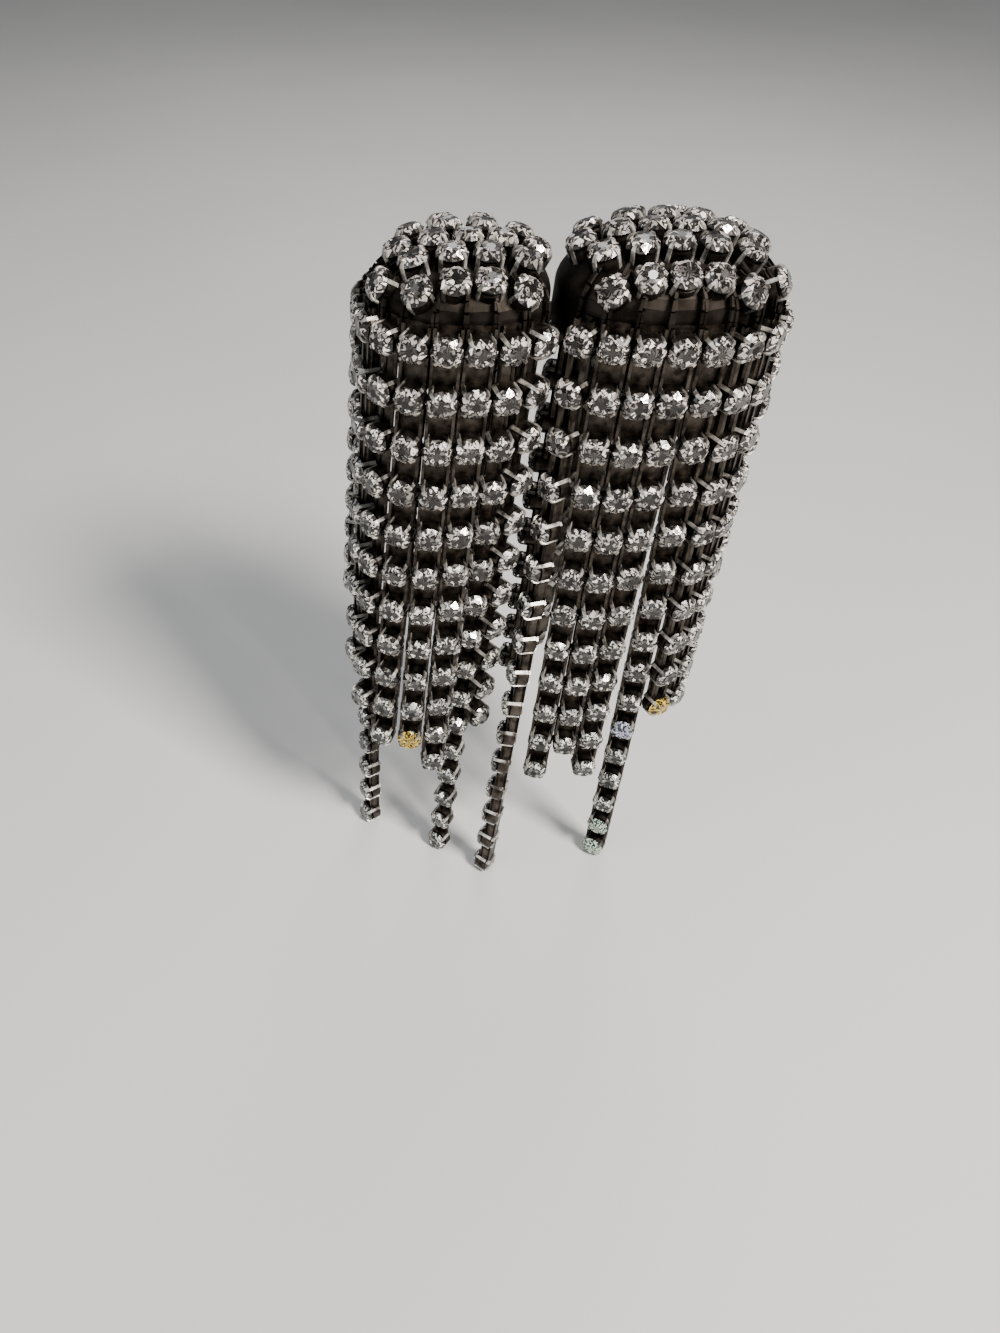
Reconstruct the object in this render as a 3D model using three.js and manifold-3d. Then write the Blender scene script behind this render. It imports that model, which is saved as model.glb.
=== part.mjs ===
/**
 * Fringe earring, in millimetres, +Z up, seen from the front along +Y.
 *
 * Two domed caps stand side by side and carry a curtain of stone-set strands that runs
 * round both of them, close in front and at the sides, and wider apart behind. A plain plate
 * behind the caps holds the ear post.
 * The origin is at the root of the ear post, on the back face of that plate.
 *
 * Every stone sits in a claw cup. A strand is one soldered chain of such cups and the flat
 * links between them, and a cap is one soldered plate with the cups that stand on it.
 */
import * as THREE from 'three';
import { mergeVertices } from 'three/addons/utils/BufferGeometryUtils.js';
import Module from 'manifold-3d';

// ---------------------------------------------------------------- driving dimensions

/** A set stone: a cup that flares to an eight-sided rim, and a cut crown above it. */
const SETTING = {
  sides: 8,
  baseRadius: 1.05,
  rimRadius: 1.41,
  cupDepth: 1.6,
  crownHeight: 0.6,
  tableRadius: 0.85,
};

/** A link is a flat bar behind the cups, as wide as the square back of a hanging cup. */
const LINK = { width: 1.6, thickness: 0.45 };

/** Room that is left between two neighbouring pieces. */
const CLEARANCE = 0.3;

/** Strands round the outside of a skirt: height of the first stone, and the stub above its cup. */
const OUTER_STRANDS = { firstStoneZ: 4.9, stub: 1.0 };

/** The outline of a cap is squarer in front, where the strands hang side by side. */
const FRONT_POWER = 2.5;
const BACK_POWER = 2.0;

/** The skirt is the upright wall of a cap, and the dome rises from its upper edge. */
const SKIRT_BOTTOM_Z = 3.7;
const SKIRT_TOP_Z = 6.9;
const CAP_WALL = 0.9;
const CAP_SEGMENTS = 16;
const DOME_POWER = 2.2;
const CUP_SEAT = 0.4;
const CAP_CUP_DEPTH = 1.2;

/** The plate behind the caps has an ear behind each of them and dips between the two. */
const PLATE = { thickness: 1.0, top: 6.2, dip: 1.6, bottom: -2.2, reach: 11.5, ear: 4.8, foot: 2.4 };
const POST = { diameter: 0.9, length: 11, grooveFromTip: 2.2, grooveDepth: 0.12, sides: 16 };

/** Strands that hang under the skirts, behind and between the caps. */
const REAR_STRANDS = { inset: 1.5, firstStoneZ: 2.1, stub: 0.3 };

/** Both caps end on one plane behind, a clearance in front of the plate. */
const CAP_HALF_DEPTH = 7.3;
const CAP_CENTRE_Y = -PLATE.thickness - CLEARANCE - CAP_HALF_DEPTH;

const COLOURS = {
  metal: { color: 0x2f2b29, roughness: 0.35, metalness: 1.0 },
  stones: { color: 0xd9d4cf, roughness: 0.12, metalness: 0.1 },
};

/**
 * The strands of each lobe, from its left to its right, spaced evenly along the outline of
 * its cap. `phase` is how far the strand numbered 0 hangs to the right of the lobe's middle.
 *
 * place   number of the strand along the outline, 0 next to the middle of the front
 * stones  how many set stones it has
 * pitch   from one stone to the next, down the strand
 * sway    how far its end hangs to the right of its top
 * back    how far its end hangs behind its top
 * turn    how far its last stone is turned to the right of its first, in degrees
 *
 * The rear strands hang at bearings about the middle of the cap, positive to the right.
 *
 * The rows are those of the set stones on a cap, from its back to its front: how far a row
 * lies behind the middle of the cap, its stones, and the distance between them.
 */
const LOBES = [
  {
    name: 'left', centreX: -8.6, halfWidth: 7.5, rise: 3.2, phase: 0.85, spacing: 2.75,
    strands: [
      { place: -7, stones: 9, pitch: 3.6, sway: -0.4, back: 0.0, turn: 0 },
      { place: -6, stones: 10, pitch: 3.6, sway: -0.6, back: 0.0, turn: 0 },
      { place: -5, stones: 16, pitch: 4.8, sway: 2.1, back: 0.6, turn: 28 },
      { place: -4, stones: 9, pitch: 4.8, sway: -0.6, back: 0.0, turn: 0 },
      { place: -3, stones: 10, pitch: 4.8, sway: -1.2, back: 0.0, turn: 0 },
      { place: -2, stones: 11, pitch: 4.8, sway: -1.2, back: 0.0, turn: 0 },
      { place: -1, stones: 11, pitch: 4.8, sway: -0.8, back: 0.0, turn: 0 },
      { place: 0, stones: 12, pitch: 4.7, sway: -0.7, back: 0.0, turn: 0 },
      { place: 1, stones: 16, pitch: 4.8, sway: -0.9, back: 3.0, turn: -54 },
      { place: 2, stones: 11, pitch: 4.6, sway: -1.0, back: 0.4, turn: 0 },
    ],
    rear: [
      { bearing: 100, stones: 10, pitch: 4.6, sway: 0.0, back: 0.0, turn: 0 },
      { bearing: 142, stones: 10, pitch: 4.6, sway: 0.2, back: 0.0, turn: 0 },
      { bearing: 180, stones: 9, pitch: 4.6, sway: 0.0, back: 0.0, turn: 0 },
      { bearing: -142, stones: 9, pitch: 4.6, sway: -0.2, back: 0.0, turn: 0 },
    ],
    rows: [
      { back: 5.0, stones: 2, spread: 3.4 },
      { back: 2.2, stones: 4, spread: 3.0 },
      { back: -0.5, stones: 5, spread: 2.8 },
      { back: -3.1, stones: 4, spread: 3.0 },
      { back: -5.9, stones: 4, spread: 2.8 },
    ],
  },
  {
    name: 'right', centreX: 8.6, halfWidth: 9.1, rise: 4.0, phase: 0.5, spacing: 2.8,
    strands: [
      { place: -3, stones: 16, pitch: 4.8, sway: -1.2, back: -2.2, turn: 180 },
      { place: -2, stones: 12, pitch: 4.9, sway: 0.7, back: 0.0, turn: 0 },
      { place: -1, stones: 11, pitch: 4.9, sway: 0.6, back: 0.0, turn: 0 },
      { place: 0, stones: 12, pitch: 4.8, sway: 0.6, back: 0.0, turn: 0 },
      { place: 1, stones: 16, pitch: 4.8, sway: 3.0, back: 2.2, turn: -42 },
      { place: 2, stones: 10, pitch: 4.8, sway: 1.9, back: 0.0, turn: 0 },
      { place: 3, stones: 10, pitch: 4.8, sway: 1.7, back: 0.0, turn: 0 },
      { place: 4, stones: 12, pitch: 3.8, sway: 1.3, back: 0.0, turn: 0 },
      { place: 5, stones: 11, pitch: 3.8, sway: 1.0, back: 0.0, turn: 0 },
      { place: 6, stones: 10, pitch: 3.8, sway: 0.8, back: 0.0, turn: 0 },
    ],
    rear: [
      { bearing: -100, stones: 10, pitch: 4.6, sway: 0.0, back: 0.0, turn: 0 },
      { bearing: -142, stones: 10, pitch: 4.6, sway: -0.2, back: 0.0, turn: 0 },
      { bearing: 180, stones: 9, pitch: 4.6, sway: 0.0, back: 0.0, turn: 0 },
      { bearing: 142, stones: 9, pitch: 4.6, sway: 0.2, back: 0.0, turn: 0 },
    ],
    rows: [
      { back: 5.2, stones: 2, spread: 3.9 },
      { back: 2.6, stones: 5, spread: 3.0 },
      { back: -0.1, stones: 6, spread: 2.8 },
      { back: -2.9, stones: 5, spread: 2.9 },
      { back: -5.9, stones: 5, spread: 2.7 },
    ],
  },
];

// ---------------------------------------------------------------- shared geometry

const manifold = await Module();
manifold.setup();

/** Power of the rounded outline on the side of its middle where a point lies. */
function outlinePower(y) {
  return y < 0 ? FRONT_POWER : BACK_POWER;
}

/** How far out a point lies: 0 in the middle and 1 on the outline |x/a|^n + |y/b|^n = 1. */
function outlineShare(halfWidth, halfDepth, x, y) {
  const power = outlinePower(y);
  return (Math.abs(x / halfWidth) ** power + Math.abs(y / halfDepth) ** power) ** (1 / power);
}

/** Point of the outline at a bearing from the front. */
function outlinePoint(halfWidth, halfDepth, bearing) {
  const across = Math.sin(bearing);
  const along = -Math.cos(bearing);
  const reach = 1 / outlineShare(halfWidth, halfDepth, across, along);
  return new THREE.Vector2(across * reach, along * reach);
}

/** Bearing in which the outline faces at one of its points. */
function outlineFacing(halfWidth, halfDepth, point) {
  const power = outlinePower(point.y);
  const slope = (value, half) => Math.sign(value) * (Math.abs(value) / half) ** (power - 1) / half;
  return Math.atan2(slope(point.x, halfWidth), -slope(point.y, halfDepth));
}

/** Walks along the outline from the middle of its front, a positive distance to the right. */
function walkOutline(halfWidth, halfDepth, distance) {
  const step = THREE.MathUtils.degToRad(0.1) * Math.sign(distance);
  let bearing = 0;
  let here = outlinePoint(halfWidth, halfDepth, bearing);
  let walked = 0;
  while (walked < Math.abs(distance)) {
    bearing += step;
    const next = outlinePoint(halfWidth, halfDepth, bearing);
    walked += here.distanceTo(next);
    here = next;
  }
  return { point: here, facing: outlineFacing(halfWidth, halfDepth, here) };
}

/** Collects polygons and turns them into one closed geometry. */
class Shell {
  constructor() {
    this.positions = [];
  }

  /** Adds a nearly flat polygon, anticlockwise seen from outside; corners may coincide. */
  polygon(corners) {
    const distinct = corners.filter((corner, i) => corner !== corners.at(i - 1));
    for (let i = 1; i + 1 < distinct.length; i += 1) {
      for (const corner of [distinct[0], distinct[i], distinct[i + 1]]) {
        this.positions.push(corner.x, corner.y, corner.z);
      }
    }
  }

  /** Joins two rings of equally many points; the second lies above the first. */
  band(lower, upper) {
    lower.forEach((corner, i) => {
      const j = (i + 1) % lower.length;
      this.polygon([corner, lower[j], upper[j], upper[i]]);
    });
  }

  geometry() {
    const loose = new THREE.BufferGeometry();
    loose.setAttribute('position', new THREE.Float32BufferAttribute(this.positions, 3));
    return mergeVertices(loose, 1e-4);
  }
}

/** Point of a setting: so far to its right, up the strand and out of its cup. */
function settingPoint(frame, right, up, depth) {
  return frame.centre.clone()
    .addScaledVector(frame.right, right)
    .addScaledVector(frame.up, up)
    .addScaledVector(frame.out, depth);
}

/** Ring of the setting's corners in its plane; flat sides face up and down the strand. */
function settingRing(frame, radius, depth) {
  return Array.from({ length: SETTING.sides }, (_, i) => {
    const angle = ((i + 0.5) * 2 * Math.PI) / SETTING.sides;
    return settingPoint(frame, radius * Math.cos(angle), radius * Math.sin(angle), depth);
  });
}

/** Adds a stone's cut crown: eight facets from the rim to a square table, and the table. */
function addCrown(shell, frame, rim, rimDepth) {
  const depth = rimDepth + SETTING.crownHeight;
  const reach = SETTING.tableRadius;
  const table = [[reach, 0], [0, reach], [-reach, 0], [0, -reach]]
    .map(([right, up]) => settingPoint(frame, right, up, depth));
  const above = rim.map((_, i) => table[Math.ceil(i / 2) % table.length]);
  shell.band(rim, above);
  shell.polygon(table);
}

// ---------------------------------------------------------------- strands

/** Where a stone of a strand is, and which way it is turned. */
function stoneFrame(top, facing, strand, index) {
  const share = index / (strand.stones - 1);
  const bearing = facing + THREE.MathUtils.degToRad(strand.turn) * share;
  const drop = strand.pitch * (strand.stones - 1);
  const up = new THREE.Vector3(-strand.sway, -strand.back, drop).normalize();
  const level = new THREE.Vector3(Math.sin(bearing), -Math.cos(bearing), 0);
  const out = level.addScaledVector(up, -level.dot(up)).normalize();
  const right = new THREE.Vector3().crossVectors(up, out);
  const centre = new THREE.Vector3(
    top.x + strand.sway * share,
    top.y + strand.back * share,
    top.z - drop * share,
  );
  return { centre, right, up, out };
}

/** Corners of the octagon that the links meet, at the top and at the bottom of a cup. */
const TOP_SIDE = [1, 2];
const BOTTOM_SIDE = [5, 6];

/** The square back of a hanging cup, as wide as the links: its corner behind each rim corner. */
function squareBack(frame, depth) {
  const half = LINK.width / 2;
  return [[half, half], [-half, half], [-half, -half], [half, -half]]
    .map(([right, up]) => settingPoint(frame, right, up, depth))
    .flatMap((corner) => [corner, corner]);
}

/** One strand: cups with cut stones, joined by flat links, with a short stub on top. */
function strandGeometry(top, facing, strand, stubLength) {
  const shell = new Shell();
  const baseDepth = -SETTING.cupDepth / 2;
  const rimDepth = SETTING.cupDepth / 2;
  const rise = LINK.thickness / SETTING.cupDepth;
  let hook = null;

  for (let index = 0; index < strand.stones; index += 1) {
    const frame = stoneFrame(top, facing, strand, index);
    const base = squareBack(frame, baseDepth);
    const rim = settingRing(frame, SETTING.rimRadius, rimDepth);
    const edge = base.map((corner, i) => corner.clone().lerp(rim[i], rise));
    const last = index === strand.stones - 1;
    const linked = last ? TOP_SIDE : [...TOP_SIDE, ...BOTTOM_SIDE];

    shell.polygon([...base].reverse());
    for (let i = 0; i < SETTING.sides; i += 1) {
      const j = (i + 1) % SETTING.sides;
      const opens = linked.includes(i) && linked.includes(j);
      if (opens) {
        shell.polygon([edge[i], edge[j], rim[j], rim[i]]);
      } else {
        const right = linked.includes(j) ? [edge[j]] : [];
        const left = linked.includes(i) ? [edge[i]] : [];
        shell.polygon([...right, rim[j], rim[i], ...left, base[i], base[j]]);
      }
    }
    addCrown(shell, frame, rim, rimDepth);

    const [r, l] = TOP_SIDE;
    const upper = [base[r], base[l], edge[l], edge[r]];
    if (hook) {
      shell.band(upper, hook);
    } else {
      const stub = upper.map((corner) => corner.clone().addScaledVector(frame.up, stubLength));
      shell.band(upper, stub);
      shell.polygon(stub);
    }
    const [bl, br] = BOTTOM_SIDE;
    hook = [base[br], base[bl], edge[bl], edge[br]];
  }
  return shell.geometry();
}

// ---------------------------------------------------------------- caps

/** Height of the dome above its skirt at a share of the way out to the outline. */
function domeHeight(rise, share) {
  return rise * (1 - Math.min(share, 1) ** DOME_POWER) ** (1 / DOME_POWER);
}

/** Rings of a dome and its skirt, from the lower edge of the skirt to the top ring. */
function domeRings(lobe, inset, shares) {
  const ring = (share, z) => Array.from({ length: CAP_SEGMENTS }, (_, i) => {
    const bearing = (i * 2 * Math.PI) / CAP_SEGMENTS;
    const point = outlinePoint(lobe.halfWidth - inset, CAP_HALF_DEPTH - inset, bearing);
    return new THREE.Vector3(lobe.centreX + point.x * share, CAP_CENTRE_Y + point.y * share, z);
  });
  const rings = shares.map((share) => ring(share, SKIRT_TOP_Z + domeHeight(lobe.rise - inset, share)));
  return [ring(1, SKIRT_BOTTOM_Z), ...rings];
}

/** The bare plate of a cap: a domed wall of even thickness, open below. */
function capPlate(lobe) {
  const shell = new Shell();
  const outer = domeRings(lobe, 0, [1, 0.93, 0.74, 0.4]);
  const inner = domeRings(lobe, CAP_WALL, [1, 0.85, 0.5]);
  shell.band(inner[0], outer[0]);
  outer.slice(1).forEach((ring, i) => shell.band(outer[i], ring));
  shell.polygon(outer.at(-1));
  inner.slice(1).forEach((ring, i) => shell.band(ring, inner[i]));
  shell.polygon([...inner.at(-1)].reverse());
  return shell.geometry();
}

/** Where a stone stands on a dome: its seat, the way that it faces, and its up direction. */
function capFrame(lobe, x, y) {
  const height = (px, py) => {
    return domeHeight(lobe.rise, outlineShare(lobe.halfWidth, CAP_HALF_DEPTH, px, py));
  };
  const step = 0.05;
  const slopeX = (height(x + step, y) - height(x - step, y)) / (2 * step);
  const slopeY = (height(x, y + step) - height(x, y - step)) / (2 * step);
  const out = new THREE.Vector3(-slopeX, -slopeY, 1).normalize();
  const right = new THREE.Vector3(1, 0, slopeX).normalize();
  const up = new THREE.Vector3().crossVectors(out, right);
  const centre = new THREE.Vector3(lobe.centreX + x, CAP_CENTRE_Y + y, SKIRT_TOP_Z + height(x, y));
  return { centre, right, up, out };
}

/** A cup with its cut stone, its base sunk into the dome that carries it. */
function capCup(frame) {
  const shell = new Shell();
  const base = settingRing(frame, SETTING.baseRadius, -CUP_SEAT);
  const rim = settingRing(frame, SETTING.rimRadius, CAP_CUP_DEPTH);
  shell.polygon([...base].reverse());
  shell.band(base, rim);
  addCrown(shell, frame, rim, CAP_CUP_DEPTH);
  return shell.geometry();
}

/** Turns a closed geometry into a solid. */
function toSolid(geometry) {
  return new manifold.Manifold(new manifold.Mesh({
    numProp: 3,
    vertProperties: geometry.attributes.position.array,
    triVerts: new Uint32Array(geometry.index.array),
  }));
}

/** Turns a solid back into a geometry. */
function toGeometry(solid) {
  const mesh = solid.getMesh();
  const geometry = new THREE.BufferGeometry();
  geometry.setAttribute('position', new THREE.Float32BufferAttribute(mesh.vertProperties, 3));
  geometry.setIndex([...mesh.triVerts]);
  return geometry;
}

/** A cap: its plate with rows of set stones soldered on. */
function capGeometry(lobe) {
  let solid = toSolid(capPlate(lobe));
  for (const row of lobe.rows) {
    for (let i = 0; i < row.stones; i += 1) {
      const x = (i - (row.stones - 1) / 2) * row.spread;
      solid = solid.add(toSolid(capCup(capFrame(lobe, x, row.back))));
    }
  }
  return toGeometry(solid);
}

// ---------------------------------------------------------------- plate and ear post

/** Solid of a geometry whose faces share no corners yet. */
function weldedSolid(geometry) {
  geometry.deleteAttribute('normal');
  geometry.deleteAttribute('uv');
  return toSolid(mergeVertices(geometry, 1e-4));
}

/** The plain plate behind both caps, with the ear post in one piece with it. */
function earPostGeometry() {
  const half = [
    [PLATE.foot, PLATE.dip],
    [PLATE.ear, PLATE.top],
    [PLATE.reach, PLATE.top],
    [PLATE.reach, PLATE.dip],
    [PLATE.ear, PLATE.bottom],
  ];
  const mirrored = half.map(([x, z]) => [-x, z]).reverse();
  const outline = [...half, ...mirrored].map(([x, z]) => new THREE.Vector2(x, z));
  const plate = new THREE.ExtrudeGeometry(new THREE.Shape(outline), {
    depth: PLATE.thickness,
    bevelEnabled: false,
  });
  plate.rotateX(Math.PI / 2);

  const radius = POST.diameter / 2;
  const groove = POST.length - POST.grooveFromTip;
  const profile = [
    [0, -PLATE.thickness / 2],
    [radius, -PLATE.thickness / 2],
    [radius, groove - 0.4],
    [radius - POST.grooveDepth, groove],
    [radius, groove + 0.4],
    [radius, POST.length - radius],
    [0, POST.length],
  ].map(([r, y]) => new THREE.Vector2(r, y));
  const post = new THREE.LatheGeometry(profile, POST.sides);
  return toGeometry(weldedSolid(plate).add(weldedSolid(post)));
}

// ---------------------------------------------------------------- assembly

/** Makes one named mesh. */
function piece(name, geometry, finish) {
  const mesh = new THREE.Mesh(geometry, new THREE.MeshStandardMaterial(finish));
  mesh.name = name;
  return mesh;
}

/** Hangs one strand from a point of a lobe's outline. */
function hangStrand(name, lobe, place, strand, row) {
  const { point, facing } = place;
  const top = new THREE.Vector3(lobe.centreX + point.x, CAP_CENTRE_Y + point.y, row.firstStoneZ);
  return piece(name, strandGeometry(top, facing, strand, row.stub), COLOURS.stones);
}

/** Number of a strand as its node's name has it. */
function strandName(number) {
  return `strand_${String(number).padStart(2, '0')}`;
}

/** Strands that hang round the outside of a lobe's skirt. */
function outerStrands(lobe, firstNumber) {
  const reach = CLEARANCE + SETTING.cupDepth / 2;
  return lobe.strands.map((strand, index) => {
    const walk = lobe.phase + strand.place * lobe.spacing;
    const place = walkOutline(lobe.halfWidth + reach, CAP_HALF_DEPTH + reach, walk);
    return hangStrand(strandName(firstNumber + index), lobe, place, strand, OUTER_STRANDS);
  });
}

/** Strands that hang under a lobe's skirt, behind and beside the other lobe. */
function rearStrands(lobe, firstNumber) {
  const halfWidth = lobe.halfWidth - REAR_STRANDS.inset;
  const halfDepth = CAP_HALF_DEPTH - REAR_STRANDS.inset;
  return lobe.rear.map((strand, index) => {
    const point = outlinePoint(halfWidth, halfDepth, THREE.MathUtils.degToRad(strand.bearing));
    const place = { point, facing: outlineFacing(halfWidth, halfDepth, point) };
    return hangStrand(strandName(firstNumber + index), lobe, place, strand, REAR_STRANDS);
  });
}

const earring = new THREE.Group();
earring.add(piece('ear_post', earPostGeometry(), COLOURS.metal));
let number = 1;
for (const lobe of LOBES) {
  earring.add(piece(`cap_${lobe.name}`, capGeometry(lobe), COLOURS.stones));
  earring.add(...outerStrands(lobe, number));
  number += lobe.strands.length;
}
for (const lobe of LOBES) {
  earring.add(...rearStrands(lobe, number));
  number += lobe.rear.length;
}

export default earring;
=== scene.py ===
"""Fringe earring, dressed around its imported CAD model, for Blender 4.5.

Two domed caps stand side by side and carry a curtain of stone-set strands that hangs round
both, close in front and thinner behind. A plate behind the caps holds the ear post. Sizes in
the classes below are millimetres, and become metres when a mesh is finished. +Z is up, and the
front faces -Y.
"""

import logging
import math
import random
from collections.abc import Callable, Iterable
from dataclasses import dataclass, field
from enum import Enum

import bmesh
import bpy
from bmesh.types import BMEdge, BMesh, BMFace, BMVert
from bpy.types import ID, Material, Mesh, MeshPolygon, NodeSocket, Object
from mathutils import Matrix, Vector


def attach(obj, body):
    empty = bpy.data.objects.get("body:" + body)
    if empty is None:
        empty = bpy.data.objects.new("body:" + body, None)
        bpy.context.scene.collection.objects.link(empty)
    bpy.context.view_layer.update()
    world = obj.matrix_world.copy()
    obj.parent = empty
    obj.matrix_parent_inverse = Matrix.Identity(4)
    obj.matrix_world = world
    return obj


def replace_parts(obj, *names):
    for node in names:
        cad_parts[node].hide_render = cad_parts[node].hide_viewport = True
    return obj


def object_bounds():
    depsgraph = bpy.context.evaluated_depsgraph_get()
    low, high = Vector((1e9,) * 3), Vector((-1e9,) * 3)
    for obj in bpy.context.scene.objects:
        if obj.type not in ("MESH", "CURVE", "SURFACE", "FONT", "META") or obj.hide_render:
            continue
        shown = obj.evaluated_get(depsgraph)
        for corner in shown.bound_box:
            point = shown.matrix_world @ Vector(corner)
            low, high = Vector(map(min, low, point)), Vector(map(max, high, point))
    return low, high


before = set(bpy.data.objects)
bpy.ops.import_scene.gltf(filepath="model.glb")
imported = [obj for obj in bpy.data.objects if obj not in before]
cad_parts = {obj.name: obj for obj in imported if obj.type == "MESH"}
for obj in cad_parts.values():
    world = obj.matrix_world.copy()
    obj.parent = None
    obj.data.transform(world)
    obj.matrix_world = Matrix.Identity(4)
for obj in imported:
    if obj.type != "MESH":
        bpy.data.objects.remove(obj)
CAD_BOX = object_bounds()

LOG = logging.getLogger("fringe_earring")
MM = 0.001
CREASE = 40.0


# ---------------- shader building


class Value:
    """A number that varies over a surface: a shader socket with arithmetic."""

    def __init__(self, shader: "Shader", socket: NodeSocket) -> None:
        """Wraps an output socket of a shader."""
        self.shader = shader
        self.socket = socket

    def apply(self, operation: str, other: object = 0.0) -> "Value":
        """Adds a Math node on self and another value, and gives its result."""
        return self.shader.node("ShaderNodeMath", {"operation": operation}, {0: self, 1: other})

    def __add__(self, other: object) -> "Value":
        """self + other."""
        return self.apply("ADD", other)

    def __mul__(self, other: object) -> "Value":
        """self * other."""
        return self.apply("MULTIPLY", other)


class Shader:
    """The node tree of one finish, around a Principled shader."""

    def __init__(self, name: str, constants: dict[str, object]) -> None:
        """Makes the material.

        Args:
            name: Name of the material.
            constants: Values of the Principled shader's sockets that are the same all over.
        """
        self.material = bpy.data.materials.new(name)
        self.material.use_nodes = True
        self.tree = self.material.node_tree
        self.surface = self.tree.nodes["Principled BSDF"]
        for socket, value in constants.items():
            self.surface.inputs[socket].default_value = value

    def node(
        self,
        kind: str,
        settings: dict[str, object],
        inputs: dict[object, object],
        output: object = 0,
    ) -> Value:
        """Adds one node.

        Args:
            kind: Type of the node.
            settings: Its properties, and "stops" for the colours of a ramp; set first.
            inputs: Values or links of its sockets, by their name or number.
            output: Name or number of the socket to give back.

        Returns:
            The chosen output of the new node.
        """
        made = self.tree.nodes.new(kind)
        for key, value in settings.items():
            if key == "stops":
                ramp = made.color_ramp.elements
                while len(ramp) < len(value):
                    ramp.new(1.0)
                for element, (position, colour) in zip(ramp, value):
                    element.position = position
                    element.color = colour
            else:
                setattr(made, key, value)
        for key, value in inputs.items():
            self.feed(made.inputs[key], value)
        return Value(self, made.outputs[output])

    def feed(self, socket: NodeSocket, value: object) -> None:
        """Links a value to a socket, or sets the socket to a constant."""
        if isinstance(value, Value):
            self.tree.links.new(value.socket, socket)
        else:
            socket.default_value = value

    def dress(self, **varying: Value) -> Material:
        """Links what varies to the Principled shader.

        Args:
            varying: Values by socket name, with _ for the spaces.

        Returns:
            The finished material.
        """
        for name, value in varying.items():
            self.feed(self.surface.inputs[name.replace("_", " ")], value)
        return self.material

    def place(self) -> Value:
        """Object coordinates, in metres."""
        return self.node("ShaderNodeTexCoord", {}, {}, "Object")

    def attribute(self, name: str, output: str) -> Value:
        """A value that a mesh carries on its faces."""
        return self.node("ShaderNodeAttribute", {"attribute_name": name}, {}, output)

    def split(self, vector: Value) -> tuple[Value, ...]:
        """The three parts of a vector."""
        parts = self.node("ShaderNodeSeparateXYZ", {}, {"Vector": vector})
        return tuple(Value(self, socket) for socket in parts.socket.node.outputs)

    def noise(self, per_mm: float, detail: float = 3.0, place: Value | None = None) -> Value:
        """Cloudy noise from 0 to 1, with so many waves to a millimetre."""
        sockets = {"Vector": place or self.place(), "Scale": per_mm / MM, "Detail": detail}
        return self.node("ShaderNodeTexNoise", {}, sockets, "Fac")

    def ramp(self, factor: Value, stops: list[tuple[float, tuple[float, ...]]]) -> Value:
        """Colours along a factor."""
        return self.node("ShaderNodeValToRGB", {"stops": stops}, {"Fac": factor}, "Color")

    def blend(self, mode: str, factor: object, first: object, second: object) -> Value:
        """Mixes two colours."""
        settings = {"data_type": "RGBA", "blend_type": mode}
        return self.node("ShaderNodeMix", settings, {0: factor, 6: first, 7: second}, 2)

    def bump(self, height: Value, depth: float) -> Value:
        """Bumps of a depth in millimetres."""
        sockets = {"Height": height, "Distance": depth * MM, "Strength": 1.0}
        return self.node("ShaderNodeBump", {}, sockets, "Normal")


# ---------------- finishes


@dataclass(frozen=True)
class CutStoneFinish:
    """Clear cut glass with a mirror foil behind it, its reflections painted facet by facet."""

    name: str = "cut_stone"
    # Colour of the dark facets: painted dark reflection.
    dark: tuple[float, ...] = (0.006, 0.005, 0.004, 1.0)
    roughness: float = 0.10
    waves_per_mm: float = 1.9
    spokes: float = 8.0
    spoke_curl: float = 3.0
    spoke_waver: float = 20.0
    spoke_shade: float = 0.04
    spoke_edges: tuple[float, float] = (0.30, 0.58)

    def material(self) -> Material:
        """Each facet has a painted sparkle, a tint with painted glints, and the direction of the
        foil that it shows.

        Painted dark spokes run outward from the middle of each stone: painted reflections of
        the facets of its back.
        """
        constants = {"Metallic": 0.35, "Coat Weight": 0.15, "Coat Roughness": 0.03, "IOR": 1.5}
        shader = Shader(self.name, constants)
        depth = shader.noise(self.waves_per_mm, 1.0)
        light = shader.blend(
            "MULTIPLY", 1.0, shader.attribute("tint", "Color"), self._spokes(shader, depth)
        )
        # Painted sparkle: how brightly each facet shows its painted reflections and highlights.
        tone = shader.attribute("tone", "Fac")
        return shader.dress(
            Base_Color=shader.blend("MIX", tone, self.dark, light),
            Roughness=depth * 0.12 + self.roughness,
            Normal=shader.attribute("foil", "Vector"),
        )

    def _spokes(self, shader: Shader, depth: Value) -> Value:
        """Painted dark spokes from the middle of the stone, which waver with the depth."""
        x, y, _ = shader.split(shader.attribute("across", "Vector"))
        turn = x.apply("ARCTAN2", y) * self.spokes
        curl = (x * x + y * y).apply("SQRT") * self.spoke_curl
        wave = (turn + curl + depth * self.spoke_waver).apply("SINE")
        shades = (self.spoke_shade, 1.0)
        stops = [(edge, (*[shade] * 3, 1.0)) for edge, shade in zip(self.spoke_edges, shades)]
        return shader.ramp(wave * 0.5 + 0.5, stops)


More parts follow.
